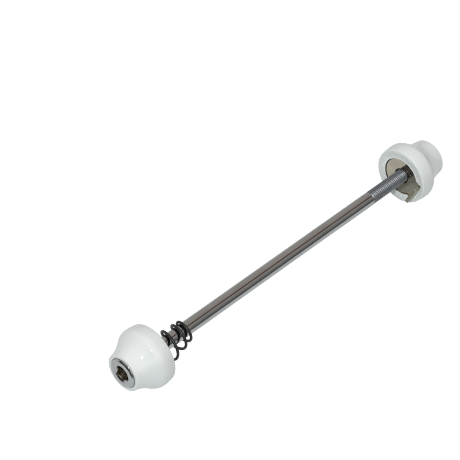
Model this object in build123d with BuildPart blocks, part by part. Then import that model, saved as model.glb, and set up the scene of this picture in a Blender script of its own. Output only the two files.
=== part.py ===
"""Bolt-on wheel skewer: a long hex-key bolt in a bell-shaped cap, with a tapered spring and a keyed nut.

Millimetres. The origin is the centre of the cap's clamp face, +Y runs along the rod to the nut and Z is up.
"""
import math
import os

from build123d import *

# Reach: the clamp faces stand this far apart while the nut is run out near the end of the thread
grip = 124.5
thread_shown = 17.0
thread_engaged = 5.5

# Rod and its socket head
rod_radius = 2.5
thread_relief = 0.03
end_chamfer = 0.6
head_radius = 5.3
head_height = 6.35
head_chamfer = 0.45
key_width = 5.0
key_depth = 4.2
key_mouth = 0.75
drill_point = 0.8

# Clearances between pieces that move against each other
shaft_gap = 0.09
thread_gap = 0.08
head_gap = 0.15
seat_gap = 0.05

# Flanges, alike at both ends so that the skewer lies level
flange_radius = 10.9
face_break = 0.45
face_width = 2.8
lead_drop = 0.35
lead_depth = 2.8
band_break = 0.2

# Cap
cap_length = 13.45
cap_band = 5.15
cap_recess_depth = 1.0
rim_wall = 1.36
rim_break = 0.5
rim_bevel = 0.25
head_proud = 0.65
cap_shoulder_slope = 0.76
cap_shoulder_pull = 3.1
cap_waist_slope = 0.2
cap_waist_pull = 2.9

# Nut
nut_length = 15.75
nut_band = 5.6
nut_nose_radius = 6.9
nut_nose_break = 0.7
nut_shoulder_slope = 0.8
nut_shoulder_pull = 3.7
nut_waist_slope = 0.13
nut_waist_pull = 5.0
bore_lead = 0.7

# Tab washer in the nut's recess, and the deeper pocket that gives its bent ear room
washer_thickness = 1.2
washer_sink = 1.0
washer_gap = 0.2
washer_hole_gap = 0.45
tab_width = 8.2
tab_height = 3.05
tab_bend = 0.6
tab_corner = 0.7
tab_angle = -25.0
pocket_lip = 0.4
pocket_side_gap = 0.45
pocket_end_gap = 0.25
pocket_corner = 0.5
pocket_start = 5.4
pocket_relief = 0.5

# Tapered spring, hung on the rod by the upper side of its coils
wire_radius = 0.48
hang_gap = 0.15
coil_turns = 3.35
coil_start = 1.1
coil_span = 12.9
coil_start_radius = 5.6
coil_end_slack = 0.4
coil_lean = 0.2
coil_place_ease = 1.65
coil_radius_ease = 1.4
coil_runs_per_turn = 11

os.makedirs("parts", exist_ok=True)
lead_radius = flange_radius - lead_drop
face_radius = lead_radius - face_break
recess_radius = face_radius - face_width

# Rod: shank, socket head and the run of thread, which is a plain cylinder here
head_top = -cap_length - head_proud
head_seat = head_top + head_height
thread_start = grip - thread_shown
thread_radius = rod_radius - thread_relief
rod_end = grip + thread_engaged
mouth_radius = key_width / 2 + key_mouth
with BuildPart() as skewer_rod:
    with BuildSketch():
        with BuildLine():
            Polyline(
                (0, head_top),
                (head_radius - head_chamfer, head_top),
                (head_radius, head_top + head_chamfer),
                (head_radius, head_seat),
                (rod_radius, head_seat),
                (rod_radius, thread_start),
                (thread_radius, thread_start),
                (thread_radius, rod_end - end_chamfer),
                (thread_radius - end_chamfer, rod_end),
                (0, rod_end),
                close=True,
            )
        make_face()
    revolve(axis=Axis.Y)
    with BuildSketch(Plane(origin=(0, head_top, 0), x_dir=(1, 0, 0), z_dir=(0, 1, 0))):
        RegularPolygon(key_width / 2, 6, major_radius=False, rotation=30)
    extrude(amount=key_depth, mode=Mode.SUBTRACT)
    with BuildSketch():
        with BuildLine():
            Polyline((0, head_top), (mouth_radius, head_top), (0, head_top + mouth_radius), close=True)
        make_face()
        with BuildLine():
            Polyline(
                (0, head_top + key_depth - drill_point),
                (key_width / 2, head_top + key_depth),
                (0, head_top + key_depth + drill_point),
                close=True,
            )
        make_face()
    revolve(axis=Axis.Y, mode=Mode.SUBTRACT)
skewer_rod.part.label = "skewer_rod"

# Cap: banded flange, hollow shoulder and a rimmed nose that takes the bolt's head
bore_radius = head_radius + head_gap
hole_radius = rod_radius + shaft_gap
nose_radius = bore_radius + rim_wall
cap_seat = head_seat + seat_gap
shoulder = (flange_radius - band_break, -cap_band - band_break)
waist = (nose_radius, -cap_length + rim_break)
with BuildPart() as head_cap:
    with BuildSketch():
        with BuildLine():
            Polyline(
                (recess_radius, 0),
                (face_radius, 0),
                (lead_radius, -face_break),
                (flange_radius, -lead_depth),
                (flange_radius, -cap_band),
                shoulder,
            )
            Bezier(
                shoulder,
                (shoulder[0] - cap_shoulder_pull * cap_shoulder_slope, shoulder[1] - cap_shoulder_pull),
                (waist[0] + cap_waist_pull * cap_waist_slope, waist[1] + cap_waist_pull),
                waist,
            )
            Polyline(
                waist,
                (nose_radius - rim_break, -cap_length),
                (bore_radius + rim_bevel, -cap_length),
                (bore_radius, -cap_length + rim_bevel),
                (bore_radius, cap_seat),
                (hole_radius, cap_seat),
                (hole_radius, -cap_recess_depth),
                (recess_radius, -cap_recess_depth),
                (recess_radius, 0),
            )
        make_face()
    revolve(axis=Axis.Y)
head_cap.part.label = "head_cap"

# Nut: the same kind of bell, longer, with a keyed recess in its clamp face
nut_end = grip + nut_length
nut_bore_radius = thread_radius + thread_gap
recess_depth = washer_sink + washer_thickness
pocket_width = tab_width + 2 * pocket_side_gap
pocket_reach = math.sqrt((face_radius - pocket_lip) ** 2 - (pocket_width / 2) ** 2)
nut_shoulder = (flange_radius - band_break, grip + nut_band + band_break)
nut_waist = (nut_nose_radius, nut_end - nut_nose_break)
key = Plane(
    origin=(0, grip, 0),
    x_dir=(math.cos(math.radians(tab_angle)), 0, math.sin(math.radians(tab_angle))),
    z_dir=(0, -1, 0),
)
with BuildPart() as nut_body:
    with BuildSketch():
        with BuildLine():
            Polyline(
                (nut_bore_radius, grip),
                (face_radius, grip),
                (lead_radius, grip + face_break),
                (flange_radius, grip + lead_depth),
                (flange_radius, grip + nut_band),
                nut_shoulder,
            )
            Bezier(
                nut_shoulder,
                (nut_shoulder[0] - nut_shoulder_pull * nut_shoulder_slope, nut_shoulder[1] + nut_shoulder_pull),
                (nut_waist[0] + nut_waist_pull * nut_waist_slope, nut_waist[1] - nut_waist_pull),
                nut_waist,
            )
            Polyline(
                nut_waist,
                (nut_nose_radius - nut_nose_break, nut_end),
                (nut_bore_radius + bore_lead, nut_end),
                (nut_bore_radius, nut_end - bore_lead),
                (nut_bore_radius, grip),
            )
        make_face()
    revolve(axis=Axis.Y)
    with BuildSketch(key):
        Circle(recess_radius)
    extrude(amount=-recess_depth, mode=Mode.SUBTRACT)
    with BuildSketch(key):
        with Locations(((pocket_start + pocket_reach) / 2, 0)):
            RectangleRounded(pocket_reach - pocket_start, pocket_width, pocket_corner)
    extrude(amount=-recess_depth - pocket_relief, mode=Mode.SUBTRACT)
nut_body.part.label = "nut_body"

# Tab washer: a round plate whose ear is bent up to stand in the frame's axle slot
washer_hole_radius = rod_radius + washer_hole_gap
tab_outer = pocket_reach - pocket_end_gap
tab_inner = tab_outer - washer_thickness
bend_centre = (tab_inner - tab_bend, tab_bend - washer_sink)
ear_root = (washer_hole_radius + tab_inner) / 2
with BuildPart() as tab_washer:
    with BuildSketch(key.offset(-recess_depth)):
        Circle(recess_radius - washer_gap)
        Circle(washer_hole_radius, mode=Mode.SUBTRACT)
    extrude(amount=washer_thickness)
    with BuildSketch(Plane(origin=key.origin, x_dir=key.x_dir, z_dir=-key.y_dir)):
        with BuildLine():
            Line((ear_root, -recess_depth), (bend_centre[0], -recess_depth))
            CenterArc(bend_centre, tab_bend + washer_thickness, 270, 90)
            Polyline(
                (tab_outer, bend_centre[1]),
                (tab_outer, tab_height),
                (tab_inner, tab_height),
                (tab_inner, bend_centre[1]),
            )
            CenterArc(bend_centre, tab_bend, 270, 90)
            Polyline((bend_centre[0], -washer_sink), (ear_root, -washer_sink), (ear_root, -recess_depth))
        make_face()
    extrude(amount=tab_width / 2, both=True)
    tab_end = tab_washer.faces().sort_by(Axis.Y)[0]
    fillet(tab_end.edges().sort_by(SortBy.LENGTH)[0:2], tab_corner)
tab_washer.part.label = "tab_washer"

# Spring: a wire that tapers towards the nut, its coils closing up at the narrow end
coil_top = rod_radius + hang_gap + wire_radius
coil_end_radius = rod_radius + wire_radius + coil_end_slack


def coil_point(turn):
    """Centre of the wire after a number of turns from its first top."""
    left = 1 - turn / coil_turns
    place = coil_start + coil_span * (1 - left**coil_place_ease)
    radius = coil_end_radius + (coil_start_radius - coil_end_radius) * left**coil_radius_ease
    angle = math.radians(90 + 360 * turn)
    sag = radius * (1 - math.sin(angle))
    return (radius * math.cos(angle), place + coil_lean * sag, coil_top - sag)


coil_runs = round(coil_turns * coil_runs_per_turn)
with BuildPart() as spring:
    with BuildLine() as coil:
        Polyline([coil_point(coil_turns * run / coil_runs) for run in range(coil_runs + 1)])
    with BuildSketch(coil.line ^ 0):
        Circle(wire_radius)
    sweep(transition=Transition.RIGHT)
spring.part.label = "spring"

export_step(skewer_rod.part, "parts/skewer_rod.step")
export_step(head_cap.part, "parts/head_cap.step")
export_step(nut_body.part, "parts/nut_body.step")
export_step(tab_washer.part, "parts/tab_washer.step")
export_step(spring.part, "parts/spring.step")
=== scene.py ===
"""Bolt-on wheel skewer: a bright hex-key bolt in white cap and nut, with a keyed washer and a tapered spring."""
import math

import bmesh
import bpy
from mathutils import Matrix, Vector
from mathutils.geometry import interpolate_bezier


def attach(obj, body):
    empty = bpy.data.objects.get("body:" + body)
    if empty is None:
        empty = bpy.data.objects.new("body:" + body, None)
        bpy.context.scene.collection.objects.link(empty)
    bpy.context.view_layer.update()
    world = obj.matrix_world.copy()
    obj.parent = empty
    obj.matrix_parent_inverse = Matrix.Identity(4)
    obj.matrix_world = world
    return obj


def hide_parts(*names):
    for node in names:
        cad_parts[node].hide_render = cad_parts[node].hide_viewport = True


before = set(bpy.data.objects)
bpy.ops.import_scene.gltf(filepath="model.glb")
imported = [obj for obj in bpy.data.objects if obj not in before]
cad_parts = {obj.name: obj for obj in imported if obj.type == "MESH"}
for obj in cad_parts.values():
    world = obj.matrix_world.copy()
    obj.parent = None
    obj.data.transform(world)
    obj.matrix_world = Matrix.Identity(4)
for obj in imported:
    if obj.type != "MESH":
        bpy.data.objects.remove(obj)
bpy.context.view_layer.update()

# Bolt: one steel bar, headed at one end with a 5 mm hex socket, rolled with an M5 thread at the other and
# bright plated. The head sits in the cap's bore and the thread carries the nut.
mm = 0.001
round_steps = 96
rod_radius = 2.5
head_top = -14.1
head_seat = -7.75
head_radius = 5.3
head_chamfer = 0.55
head_rounding = 0.1
neck_rounding = 0.2
key_flat = 2.5
key_floor = head_top + 4.2
drill_point = 0.8
mouth_radius = 3.25
mouth_rounding = 0.06
run_in_radius = 2.15
run_in_slope = 0.2
run_in_rounding = 0.15
run_in_length = 0.5
thread_start = 107.5
thread_end = 130.0
thread_crest = 2.47
thread_root = 2.06
thread_pitch = 0.8
thread_parts = 12
end_chamfer = 0.6


def turned(outline, steps, closed=False):
    """A mesh spun about the skewer's axis from (radius, place, rounding) corners, in millimetres."""
    bm = bmesh.new()
    chain = [bm.verts.new((radius, place, 0)) for radius, place, _ in outline]
    for pair in zip(chain, chain[1:] + chain[:1] if closed else chain[1:]):
        bm.edges.new(pair)
    for corner, (_, _, rounding) in zip(chain, outline):
        if rounding:
            bmesh.ops.bevel(
                bm, geom=[corner], offset=rounding, offset_type="OFFSET", segments=4, profile=0.5,
                affect="VERTICES", material=-1,
            )
    bmesh.ops.spin(
        bm, geom=bm.verts[:] + bm.edges[:], cent=(0, 0, 0), axis=(0, 1, 0), dvec=(0, 0, 0),
        angle=math.tau, steps=steps, use_merge=True,
    )
    bmesh.ops.remove_doubles(bm, verts=bm.verts[:], dist=1e-5)
    return bm


def polar(vert):
    """Radius and angle of a vertex about the skewer's axis."""
    return math.hypot(vert.co.x, vert.co.z), math.atan2(vert.co.z, vert.co.x)


def set_radius(vert, radius):
    """Moves a vertex straight out or in to that radius."""
    now, _ = polar(vert)
    vert.co.x *= radius / now
    vert.co.z *= radius / now


def finished(bm, name, material, body, node, sharp=35):
    """The piece itself: the mesh in metres, closed and shaded, with its finish and its place in the frame."""
    bmesh.ops.recalc_face_normals(bm, faces=bm.faces[:])
    bmesh.ops.scale(bm, vec=(mm, mm, mm), verts=bm.verts[:])
    mesh = bpy.data.meshes.new(name)
    bm.to_mesh(mesh)
    bm.free()
    mesh.shade_smooth()
    mesh.set_sharp_from_angle(angle=math.radians(sharp))
    mesh.materials.append(material)
    piece = bpy.data.objects.new(name, mesh)
    bpy.context.scene.collection.objects.link(piece)
    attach(piece, body)
    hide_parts(node)
    return piece


class Layer:
    """One output in a finish's nodes: arithmetic on it adds Math nodes, and node() adds any other node."""

    def __init__(self, tree, socket):
        self.tree = tree
        self.socket = socket

    def node(self, kind, settings=None, sockets=None, out=0):
        made = self.tree.nodes.new(kind)
        for name, value in (settings or {}).items():
            if name == "stops":
                ramp = made.color_ramp.elements
                ramp[0].position, ramp[1].position = value[0][0], value[-1][0]
                ramp[0].color, ramp[1].color = (*value[0][1], 1), (*value[-1][1], 1)
                for position, colour in value[1:-1]:
                    ramp.new(position).color = (*colour, 1)
            else:
                setattr(made, name, value)
        for name, value in (sockets or {}).items():
            if isinstance(value, Layer):
                self.tree.links.new(value.socket, made.inputs[name])
            else:
                made.inputs[name].default_value = value
        return Layer(self.tree, made.outputs[out])

    def math(self, operation, first, second):
        return self.node("ShaderNodeMath", {"operation": operation}, {0: first, 1: second})

    def above(self, limit):
        return self.math("GREATER_THAN", self, limit)

    def below(self, limit):
        return self.math("LESS_THAN", self, limit)

    def mix(self, share, first, second):
        return self.node("ShaderNodeMix", {"data_type": "RGBA"}, {0: share, 6: first, 7: second}, out=2)

    def ease(self, start, end, first, last):
        return self.node(
            "ShaderNodeMapRange",
            None,
            {"Value": self, "From Min": start, "From Max": end, "To Min": first, "To Max": last},
        )

    def noise(self, scale, detail):
        return self.node("ShaderNodeTexNoise", None, {"Vector": self, "Scale": scale, "Detail": detail})

    def ramp(self, *stops):
        return self.node("ShaderNodeValToRGB", {"stops": stops}, {"Fac": self})

    def bump(self, strength, distance):
        return self.node(
            "ShaderNodeBump", None, {"Height": self, "Strength": strength, "Distance": distance * mm}
        )

    def split(self):
        parts = self.node("ShaderNodeSeparateXYZ", None, {0: self}).socket.node
        return [Layer(self.tree, parts.outputs[axis]) for axis in "XYZ"]

    def __add__(self, other):
        return self.math("ADD", self, other)

    __radd__ = __add__

    def __sub__(self, other):
        return self.math("SUBTRACT", self, other)

    def __rsub__(self, other):
        return self.math("SUBTRACT", other, self)

    def __mul__(self, other):
        return self.math("MULTIPLY", self, other)

    __rmul__ = __mul__

    def into(self, socket):
        self.tree.links.new(self.socket, socket)


def finish(name, **constants):
    """A new material, the coordinates its patterns follow, and its shader with the constant sockets set."""
    material = bpy.data.materials.new(name)
    material.use_nodes = True
    tree = material.node_tree
    shader = tree.nodes["Principled BSDF"]
    for socket, value in constants.items():
        shader.inputs[socket.replace("_", " ")].default_value = value
    coordinates = tree.nodes.new("ShaderNodeTexCoord")
    return material, Layer(tree, coordinates.outputs["Object"]), shader


def within(at, start, end, radius):
    """A mask: 1 between two places along the skewer's axis and inside a radius, in millimetres, else 0."""
    across, along, height = at.split()
    inside = (across * across + height * height).below((radius * mm) ** 2)
    return along.above(start * mm) * along.below(end * mm) * inside


bright_steel, at, shader = finish("bright_plated_steel", Metallic=1.0)
ground = at.node("ShaderNodeMapping", None, {"Vector": at, "Scale": (300, 9000, 300)}).noise(1.0, 3.0)
cloud = at.noise(180.0, 4.0)
plated = cloud.ramp((0.3, (0.45, 0.455, 0.46)), (0.7, (0.52, 0.525, 0.53)))
# The hex socket's walls are painted a mottled brown, from near black to light: painted shade and painted brown
# reflection inside the socket.
socket_shade_and_reflection = at.noise(1100.0, 3.0).ramp((0.4, (0.16, 0.135, 0.1)), (0.65, (0.62, 0.57, 0.46)))
on_thread = within(at, thread_start, thread_end + 1, rod_radius + 1)
in_socket = within(at, head_top + 0.55, key_floor + 1, 2.95)
rolled = at.mix(on_thread, plated, (0.27, 0.285, 0.3, 1))
at.mix(in_socket, rolled, socket_shade_and_reflection).into(shader.inputs["Base Color"])
sheen = 0.05 + 0.05 * ground + 0.04 * cloud
(sheen + 0.3 * in_socket + 0.36 * on_thread).into(shader.inputs["Roughness"])
ground.bump(0.06, 0.02).into(shader.inputs["Normal"])

bolt = turned(
    [
        (0, key_floor + drill_point, 0),
        (key_flat, key_floor, 0),
        (key_flat, head_top + mouth_radius - key_flat, 0),
        (mouth_radius, head_top, mouth_rounding),
        (head_radius - head_chamfer, head_top, head_rounding),
        (head_radius, head_top + head_chamfer, head_rounding),
        (head_radius, head_seat, neck_rounding),
        (rod_radius, head_seat, neck_rounding),
        (rod_radius, thread_start - run_in_slope, run_in_rounding),
        (run_in_radius, thread_start, 0),
    ],
    round_steps,
)
sixth = math.radians(60)
for vert in bolt.verts:
    radius, angle = polar(vert)
    if abs(radius - key_flat) < 0.01 and vert.co.y < head_seat:
        hex_radius = key_flat / math.cos((angle + sixth / 2) % sixth - sixth / 2)
        set_radius(vert, hex_radius)
        if vert.co.y < key_floor - 0.5:
            vert.co.y = head_top + mouth_radius - hex_radius

thread_turns = math.ceil((thread_end - thread_start) / thread_pitch) + 2
thread = bmesh.new()
chain = []
for part in range(thread_parts + 1):
    swell = 0.5 - 0.5 * math.cos(math.tau * part / thread_parts)
    radius = thread_root + (thread_crest - thread_root) * swell
    chain.append(thread.verts.new((radius, thread_start + thread_pitch * (part / thread_parts - 1), 0)))
for pair in zip(chain, chain[1:]):
    thread.edges.new(pair)
bmesh.ops.spin(
    thread, geom=thread.verts[:] + thread.edges[:], cent=(0, 0, 0), axis=(0, 1, 0),
    dvec=(0, thread_pitch / round_steps, 0), angle=math.tau, steps=round_steps,
)
bmesh.ops.spin(
    thread, geom=thread.verts[:] + thread.edges[:] + thread.faces[:], cent=(0, 0, 0), axis=(0, 1, 0),
    dvec=(0, thread_pitch, 0), angle=0, steps=thread_turns - 1, use_duplicate=True,
)
for vert in thread.verts:
    radius, _ = polar(vert)
    run_in = min(max((vert.co.y - thread_start) / run_in_length, 0), 1)
    run_out = thread_crest - max(vert.co.y - thread_end + end_chamfer, 0)
    radius = min(run_in_radius + (radius - run_in_radius) * run_in, run_out)
    set_radius(vert, max(radius, thread_crest - end_chamfer))
    vert.co.y = min(max(vert.co.y, thread_start), thread_end)
thread_mesh = bpy.data.meshes.new("thread")
thread.to_mesh(thread_mesh)
thread.free()
bolt.from_mesh(thread_mesh)
bpy.data.meshes.remove(thread_mesh)
bmesh.ops.remove_doubles(bolt, verts=bolt.verts[:], dist=1e-4)
bmesh.ops.dissolve_degenerate(bolt, edges=bolt.edges[:], dist=1e-4)
end_ring = [edge for edge in bolt.edges if edge.is_boundary]
bmesh.ops.contextual_create(bolt, geom=end_ring)
finished(bolt, "bolt_plated", bright_steel, "bolt", "skewer_rod")

# Cap: aluminium, turned to a bell with a banded flange and painted white. Its nose takes the bolt's head,
# and fine radial teeth in the flange's face grip the fork.
grip = 124.5
flange_radius = 10.9
lead_radius = 10.53
lead_depth = 2.8
lead_rounding = 0.7
face_rounding = 0.45
recess_radius = 7.3
recess_rounding = 0.12
bore_rounding = 0.1
nose_rounding = 0.45
cap_recess = -1.0
cap_band = -5.09
cap_band_rounding = 1.3
cap_shoulder = (10.7, -5.35)
cap_shoulder_pull = 3.1
cap_shoulder_slope = 0.76
cap_waist_pull = 2.9
cap_waist_slope = 0.2
cap_seat = -7.7
cap_nose = -13.45
cap_nose_radius = 6.81
head_bore_radius = 5.45
rod_hole_radius = 2.59
teeth = 96
teeth_steps = 4 * teeth
tooth_depth = 0.24
tooth_end = 9.6
tooth_run = 2.0
tooth_rings = (7.7, 8.2, 8.8, 9.4, 9.7)
waist_gap = 0.5


def bell(shoulder, pull, slope, nose_radius, nose, nose_pull, nose_slope):
    """The hollow shoulder as (radius, place, rounding) points, from past the band's rounding to the waist."""
    way = math.copysign(1, nose - shoulder[1])
    first = Vector((*shoulder, 0))
    last = Vector((nose_radius, nose - way * waist_gap, 0))
    points = interpolate_bezier(
        first,
        first + Vector((-pull * slope, way * pull, 0)),
        last + Vector((nose_pull * nose_slope, -way * nose_pull, 0)),
        last,
        24,
    )
    return [(point.x, point.y, 0) for point in points[3:]]


def clamp_face(face, depth, way):
    """The recess's wall, the toothed ring and the flange's front edge at that face, as corners to turn."""
    return [
        (recess_radius, face + way * depth, 0),
        (recess_radius, face, recess_rounding),
        *[(radius, face, 0) for radius in tooth_rings],
        (lead_radius, face, face_rounding),
        (flange_radius, face + way * lead_depth, lead_rounding),
    ]


def cut_teeth(bm, face, way):
    """Presses the radial teeth into the flat ring at that place, deepest at the inner edge."""
    for vert in bm.verts:
        radius, angle = polar(vert)
        if abs(vert.co.y - face) < 0.001 and radius > recess_radius:
            depth = tooth_depth * min(max((tooth_end - radius) / tooth_run, 0), 1)
            vert.co.y += way * depth * (0.5 - 0.5 * math.cos(angle * teeth))


white_paint, at, shader = finish(
    "white_gloss_paint", Coat_Roughness=0.05, Coat_IOR=1.5, Specular_IOR_Level=0.3
)
cloud = at.noise(110.0, 3.0)
peel = at.noise(1500.0, 2.0)
painted = cloud.ramp((0.3, (0.775, 0.815, 0.805)), (0.7, (0.81, 0.85, 0.84)))
# The nut's recess and pocket walls behind the washer are painted near black: painted shade round the washer.
recess_painted_shade = within(at, grip + 0.3, grip + 2, 8.7)
at.mix(recess_painted_shade, painted, (0.14, 0.12, 0.09, 1)).into(shader.inputs["Base Color"])
(0.5 + 0.1 * cloud).into(shader.inputs["Roughness"])
(0.75 + 0.2 * cloud).into(shader.inputs["Coat Weight"])
peel.bump(0.08, 0.03).into(shader.inputs["Normal"])

cap = turned(
    [
        (rod_hole_radius, cap_recess, bore_rounding),
        *clamp_face(0, -cap_recess, -1),
        (flange_radius, cap_band, cap_band_rounding),
        *bell(
            cap_shoulder, cap_shoulder_pull, cap_shoulder_slope,
            cap_nose_radius, cap_nose, cap_waist_pull, cap_waist_slope,
        ),
        (cap_nose_radius, cap_nose, nose_rounding),
        (head_bore_radius, cap_nose, recess_rounding),
        (head_bore_radius, cap_seat, 0),
        (rod_hole_radius, cap_seat, 0),
    ],
    teeth_steps,
    closed=True,
)
cut_teeth(cap, 0, -1)
finished(cap, "cap_painted", white_paint, "cap", "head_cap")

# Spring: black spring wire, wound to a taper that closes up at its narrow end. It is loose on the rod and
# hangs from it by the upper side of its coils.
wire_radius = 0.48
coil_turns = 3.35
coil_steps = 160
coil_start = 1.1
coil_span = 12.9
coil_lean = 0.2
coil_place_ease = 1.65
coil_radius_ease = 1.4
coil_start_radius = 5.6
coil_end_radius = rod_radius + wire_radius + 0.4
coil_top = rod_radius + wire_radius + 0.15


def coil_point(turn):
    """Centre of the wire after that many turns from its first top."""
    left = 1 - turn / coil_turns
    place = coil_start + coil_span * (1 - left**coil_place_ease)
    radius = coil_end_radius + (coil_start_radius - coil_end_radius) * left**coil_radius_ease
    angle = math.radians(90) + math.tau * turn
    sag = radius * (1 - math.sin(angle))
    return Vector((radius * math.cos(angle), place + coil_lean * sag, coil_top - sag)) * mm


black_wire, at, shader = finish("black_spring_wire", Specular_IOR_Level=0.5)
cloud = at.noise(900.0, 3.0)
blackened = cloud.ramp((0.35, (0.010, 0.010, 0.011)), (0.75, (0.022, 0.021, 0.021)))
blackened.into(shader.inputs["Base Color"])
(0.28 + 0.2 * cloud).into(shader.inputs["Roughness"])

coil = bpy.data.curves.new("coil", "CURVE")
coil.dimensions = "3D"
coil.bevel_depth = wire_radius * mm
coil.bevel_resolution = 4
coil.use_fill_caps = True
strand = coil.splines.new("POLY")
strand.points.add(coil_steps)
for step, point in enumerate(strand.points):
    point.co = (*coil_point(coil_turns * step / coil_steps), 1)
coil_path = bpy.data.objects.new("coil", coil)
wound_mesh = bpy.data.meshes.new_from_object(coil_path)
wound = bmesh.new()
wound.from_mesh(wound_mesh)
bmesh.ops.scale(wound, vec=(1 / mm, 1 / mm, 1 / mm), verts=wound.verts[:])
bmesh.ops.remove_doubles(wound, verts=wound.verts[:], dist=1e-4)
bpy.data.objects.remove(coil_path)
bpy.data.curves.remove(coil)
bpy.data.meshes.remove(wound_mesh)
finished(wound, "spring_wound", black_wire, "cap", "spring", sharp=50)

# Nut: a longer bell of the same turned and painted aluminium, tapped M5. Its clamp face has the same teeth
# round a recess for the washer, with a square pocket cut out of one side of the ring.
nut_band = grip + 5.55
nut_band_rounding = 0.7
nut_shoulder = (10.7, grip + 5.8)
nut_shoulder_pull = 3.7
nut_shoulder_slope = 0.8
nut_waist_pull = 5.0
nut_waist_slope = 0.13
nut_nose = grip + 15.75
nut_nose_radius = 6.9
nut_bore_radius = 2.55
nut_bore_lead = 0.7
nut_recess = 1.8
tab_angle = math.radians(-25)
pocket_half = 4.55
pocket_reach = 8.5
pocket_square = 16
ring_outer = 10.03


def pocket_edge(angle):
    """Radius of the recess's wall at that angle: round, but for the square pocket with its eased corners."""
    turn = angle - tab_angle
    if math.cos(turn) <= 0:
        return recess_radius
    outward = math.cos(turn) / pocket_reach
    aside = abs(math.sin(turn)) / pocket_half
    return max((outward**pocket_square + aside**pocket_square) ** (-1 / pocket_square), recess_radius)


nut = turned(
    [
        (nut_bore_radius, grip + nut_recess, bore_rounding),
        *clamp_face(grip, nut_recess, 1),
        (flange_radius, nut_band, nut_band_rounding),
        *bell(
            nut_shoulder, nut_shoulder_pull, nut_shoulder_slope,
            nut_nose_radius, nut_nose, nut_waist_pull, nut_waist_slope,
        ),
        (nut_nose_radius, nut_nose, nose_rounding),
        (nut_bore_radius + nut_bore_lead, nut_nose, bore_rounding),
        (nut_bore_radius, nut_nose - nut_bore_lead, bore_rounding),
    ],
    teeth_steps,
    closed=True,
)
cut_teeth(nut, grip, 1)
for vert in nut.verts:
    radius, angle = polar(vert)
    if recess_radius - 0.01 < radius < ring_outer and vert.co.y < grip + nut_recess + 0.01:
        edge = pocket_edge(angle)
        share = (ring_outer - edge) / (ring_outer - recess_radius)
        set_radius(vert, edge + (radius - recess_radius) * share)
finished(nut, "nut_painted", white_paint, "nut", "nut_body")

# Washer: a stamped steel plate, nickel plated, loose in the nut's recess. One side is bent up into an ear
# that stands in the frame's axle slot and keeps the nut from turning.
washer_radius = 7.1
washer_hole = 2.95
washer_thickness = 1.2
washer_face = -0.6
washer_edge = 0.1
tab_half = 4.1
tab_height = 3.05
tab_inner = 7.297
tab_bend = 0.6
tab_corner = 0.7
tab_sweep = math.radians(34)
bend_start = tab_inner - tab_bend
plate_steps = 180

nickel, at, shader = finish("nickel_plated_plate", Metallic=1.0)
cloud = at.noise(260.0, 4.0)
grain = at.noise(4200.0, 2.0)
plated = cloud.ramp((0.3, (0.46, 0.41, 0.33)), (0.7, (0.56, 0.51, 0.42)))
# The standing ear is painted a darker, greener tone than the plate: painted shade on the ear in its pocket.
on_ear = within(at, grip - tab_height - 1, grip - 0.1, flange_radius)
# The plate's hole and its eased edges are painted near black: painted shade in the gap round the rod.
hole_painted_shade = within(at, grip, grip + nut_recess + 1, washer_hole + washer_edge)
plate_with_ear_shade = at.mix(on_ear, plated, (0.34, 0.33, 0.25, 1))
at.mix(hole_painted_shade, plate_with_ear_shade, (0.09, 0.08, 0.06, 1)).into(shader.inputs["Base Color"])
(0.06 + 0.06 * cloud + 0.3 * hole_painted_shade + 0.25 * on_ear).into(shader.inputs["Roughness"])
grain.bump(0.08, 0.02).into(shader.inputs["Normal"])

plate = bmesh.new()
for radius in (washer_hole, washer_radius):
    bmesh.ops.create_circle(plate, cap_ends=False, radius=radius, segments=plate_steps)
bmesh.ops.bridge_loops(plate, edges=plate.edges[:])
bmesh.ops.translate(plate, vec=(0, 0, washer_face), verts=plate.verts[:])
fold = []
for vert in plate.verts:
    angle = math.atan2(vert.co.y, vert.co.x)
    if vert.co.xy.length > washer_radius - 0.1 and abs(angle) < tab_sweep + 0.01:
        vert.co.x = bend_start
        vert.co.y = tab_half * angle / tab_sweep
        fold.append(vert)
fold_edges = [edge for edge in plate.edges if edge.is_boundary and all(vert in fold for vert in edge.verts)]
bent = bmesh.ops.spin(
    plate, geom=fold + fold_edges, cent=(bend_start, 0, washer_face + tab_bend), axis=(0, 1, 0),
    dvec=(0, 0, 0), angle=math.radians(-90), steps=6,
)
bent_edges = [item for item in bent["geom_last"] if isinstance(item, bmesh.types.BMEdge)]
ear = bmesh.ops.extrude_edge_only(plate, edges=bent_edges)
for item in ear["geom"]:
    if isinstance(item, bmesh.types.BMVert):
        past = max(abs(item.co.y) - tab_half + tab_corner, 0)
        item.co.z = tab_height - tab_corner + math.sqrt(max(tab_corner**2 - past**2, 0))
bmesh.ops.remove_doubles(plate, verts=plate.verts[:], dist=1e-4)
bmesh.ops.recalc_face_normals(plate, faces=plate.faces[:])
if plate.faces[:][0].normal.z < 0:
    bmesh.ops.reverse_faces(plate, faces=plate.faces[:])
bmesh.ops.solidify(plate, geom=plate.faces[:], thickness=washer_thickness)
ear_way = Vector((math.cos(tab_angle), 0, math.sin(tab_angle)))
down_rod = Vector((0, -1, 0))
seat = Matrix((ear_way, down_rod.cross(ear_way), down_rod)).transposed().to_4x4()
seat.translation = (0, grip, 0)
bmesh.ops.transform(plate, matrix=seat, verts=plate.verts[:])
washer = finished(plate, "washer_bent", nickel, "nut", "tab_washer")
eased = washer.modifiers.new("eased_edges", "BEVEL")
eased.width = washer_edge * mm
eased.segments = 2
eased.limit_method = "ANGLE"
eased.angle_limit = math.radians(50)
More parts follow.
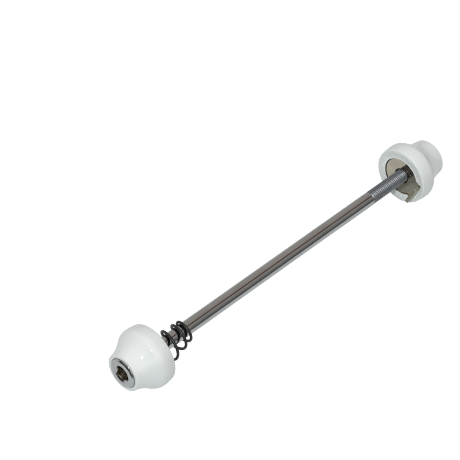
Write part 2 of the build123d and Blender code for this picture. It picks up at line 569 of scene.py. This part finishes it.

# Floor: a sheet of white paper that the skewer lies on by its two flanges. It is clean white to the camera,
# dimmer to the side, and carries a painted shadow under the nut, where the bright metal mirrors it.
floor_mesh = bmesh.new()
bmesh.ops.create_grid(floor_mesh, x_segments=1, y_segments=1, size=4)
bmesh.ops.translate(floor_mesh, vec=(0, 0, -flange_radius * mm), verts=floor_mesh.verts[:])
floor_data = bpy.data.meshes.new("floor")
floor_mesh.to_mesh(floor_data)
floor_mesh.free()
floor = bpy.data.objects.new("floor", floor_data)
bpy.context.scene.collection.objects.link(floor)
white_paper = bpy.data.materials.new("white_paper")
white_paper.use_nodes = True
tree = white_paper.node_tree
tree.nodes.clear()
path = tree.nodes.new("ShaderNodeLightPath")
ray_kinds = ("Is Camera Ray", "Is Glossy Ray", "Is Transmission Ray")
camera_ray, glossy_ray, clear_ray = (Layer(tree, path.outputs[kind]) for kind in ray_kinds)
spot = Layer(tree, tree.nodes.new("ShaderNodeTexCoord").outputs["Object"])
beside, along, _ = spot.split()
# A painted shadow on the paper under the nut, beside the thread, which the washer and the rod mirror.
nut_painted_shadow = (
    beside.ease(-0.011, -0.008, 0, 0.4) * beside.ease(-0.001, 0.004, 1, 0) * along.ease(0.09, 0.1, 0, 1)
)
brightness = beside.ease(0.016, 0.042, 0.78, 0.12) * (1 - nut_painted_shadow)
cool = spot.mix(brightness, (0, 0, 0, 1), (0.95, 1.0, 1.01, 1))
matt = spot.node("ShaderNodeBsdfDiffuse", None, {"Color": cool})
clean = beside.ease(0.016, 0.042, 1, 1.03)
glow = spot.node("ShaderNodeEmission", None, {"Color": clean, "Strength": 1.15})
mirrored = beside.ease(0.016, 0.042, 0.15, 0) * (1 - 2.5 * nut_painted_shadow)
share = 0.85 * (camera_ray + clear_ray) + mirrored * glossy_ray
seen = spot.node("ShaderNodeMixShader", None, {0: share, 1: matt, 2: glow})
output = tree.nodes.new("ShaderNodeOutputMaterial")
seen.into(output.inputs["Surface"])
floor.data.materials.append(white_paper)

# Room: grey walls with a bright ceiling and a window on the right, and one flash by the camera. The wall past
# the nut is banded round the rod's axis, and the plated rod mirrors those bands along its length.
room = bpy.data.worlds.new("room")
bpy.context.scene.world = room
room.use_nodes = True
tree = room.node_tree
sky = Layer(tree, tree.nodes.new("ShaderNodeTexCoord").outputs["Generated"])
across, along, height = sky.split()
swing = sky.math("ARCTAN2", height, across) * (1 / math.pi)
bands = swing.ramp(
    (0.0, (0.20, 0.20, 0.20)),
    (0.05, (0.21, 0.21, 0.21)),
    (0.14, (0.30, 0.28, 0.265)),
    (0.24, (0.39, 0.375, 0.343)),
    (0.32, (0.36, 0.34, 0.31)),
    (0.345, (0.14, 0.09, 0.07)),
    (0.42, (0.13, 0.08, 0.07)),
    (0.45, (0.40, 0.34, 0.32)),
    (0.62, (0.455, 0.427, 0.398)),
    (1.0, (0.46, 0.43, 0.40)),
)
far_wall = sky.mix(along.ease(0.72, 0.86, 0, 0.8), bands, (0.05, 0.05, 0.05, 1))
low = height.ease(0.12, 0.3, 0.5, 0) * across.ease(0.25, 0.5, 1, 0) * across.ease(-0.6, -0.4, 0, 1)
left = across.ease(-0.85, -0.65, 0.6, 0)
near_wall = height.ease(0.55, 0.8, 0.06, 0.78) + low + left
walls = sky.mix(along.ease(-0.1, 0.45, 0, 1), near_wall, far_wall)
ceiling = sky.mix(height.ease(0.84, 0.94, 0, 1), walls, (0.75, 0.75, 0.75, 1))
window = across.ease(0.55, 0.75, 0, 1) * along.ease(0.05, 0.3, 1, 0) * height.ease(0.05, 0.25, 0, 1)
sky.mix(window, ceiling, (1.3, 1.3, 1.3, 1)).into(tree.nodes["Background"].inputs["Color"])

flash_place = Vector((0.52, -0.58, 0.93))
flash_aim = Vector((0, 0.06, 0))
flash_light = bpy.data.lights.new("flash", "AREA")
flash_light.size = 0.06
flash_light.energy = 6.6
flash = bpy.data.objects.new("flash", flash_light)
flash.matrix_world = (flash_aim - flash_place).to_track_quat("-Z", "Y").to_matrix().to_4x4()
flash.location = flash_place
bpy.context.scene.collection.objects.link(flash)

# Camera: a long lens, held level, that looks down on the skewer from the cap's end.
azimuth = math.radians(43.6)
elevation = math.radians(40.4)
picture_side = 460
focal_pixels = 1953
right = Vector((math.cos(azimuth), math.sin(azimuth), 0))
ahead = Vector(
    (-math.sin(azimuth) * math.cos(elevation), math.cos(azimuth) * math.cos(elevation), -math.sin(elevation))
)
lens = bpy.data.cameras.new("camera")
lens.sensor_width = 36
lens.lens = lens.sensor_width * focal_pixels / picture_side
lens.clip_start = 0.01
camera = bpy.data.objects.new("camera", lens)
camera.matrix_world = Matrix((right, right.cross(ahead), -ahead)).transposed().to_4x4()
camera.location = (0.3313, -0.3118, 0.4383)
bpy.context.scene.collection.objects.link(camera)
bpy.context.scene.camera = camera
bpy.context.scene.view_settings.view_transform = "Standard"
bpy.context.scene.cycles.filter_width = 1.0
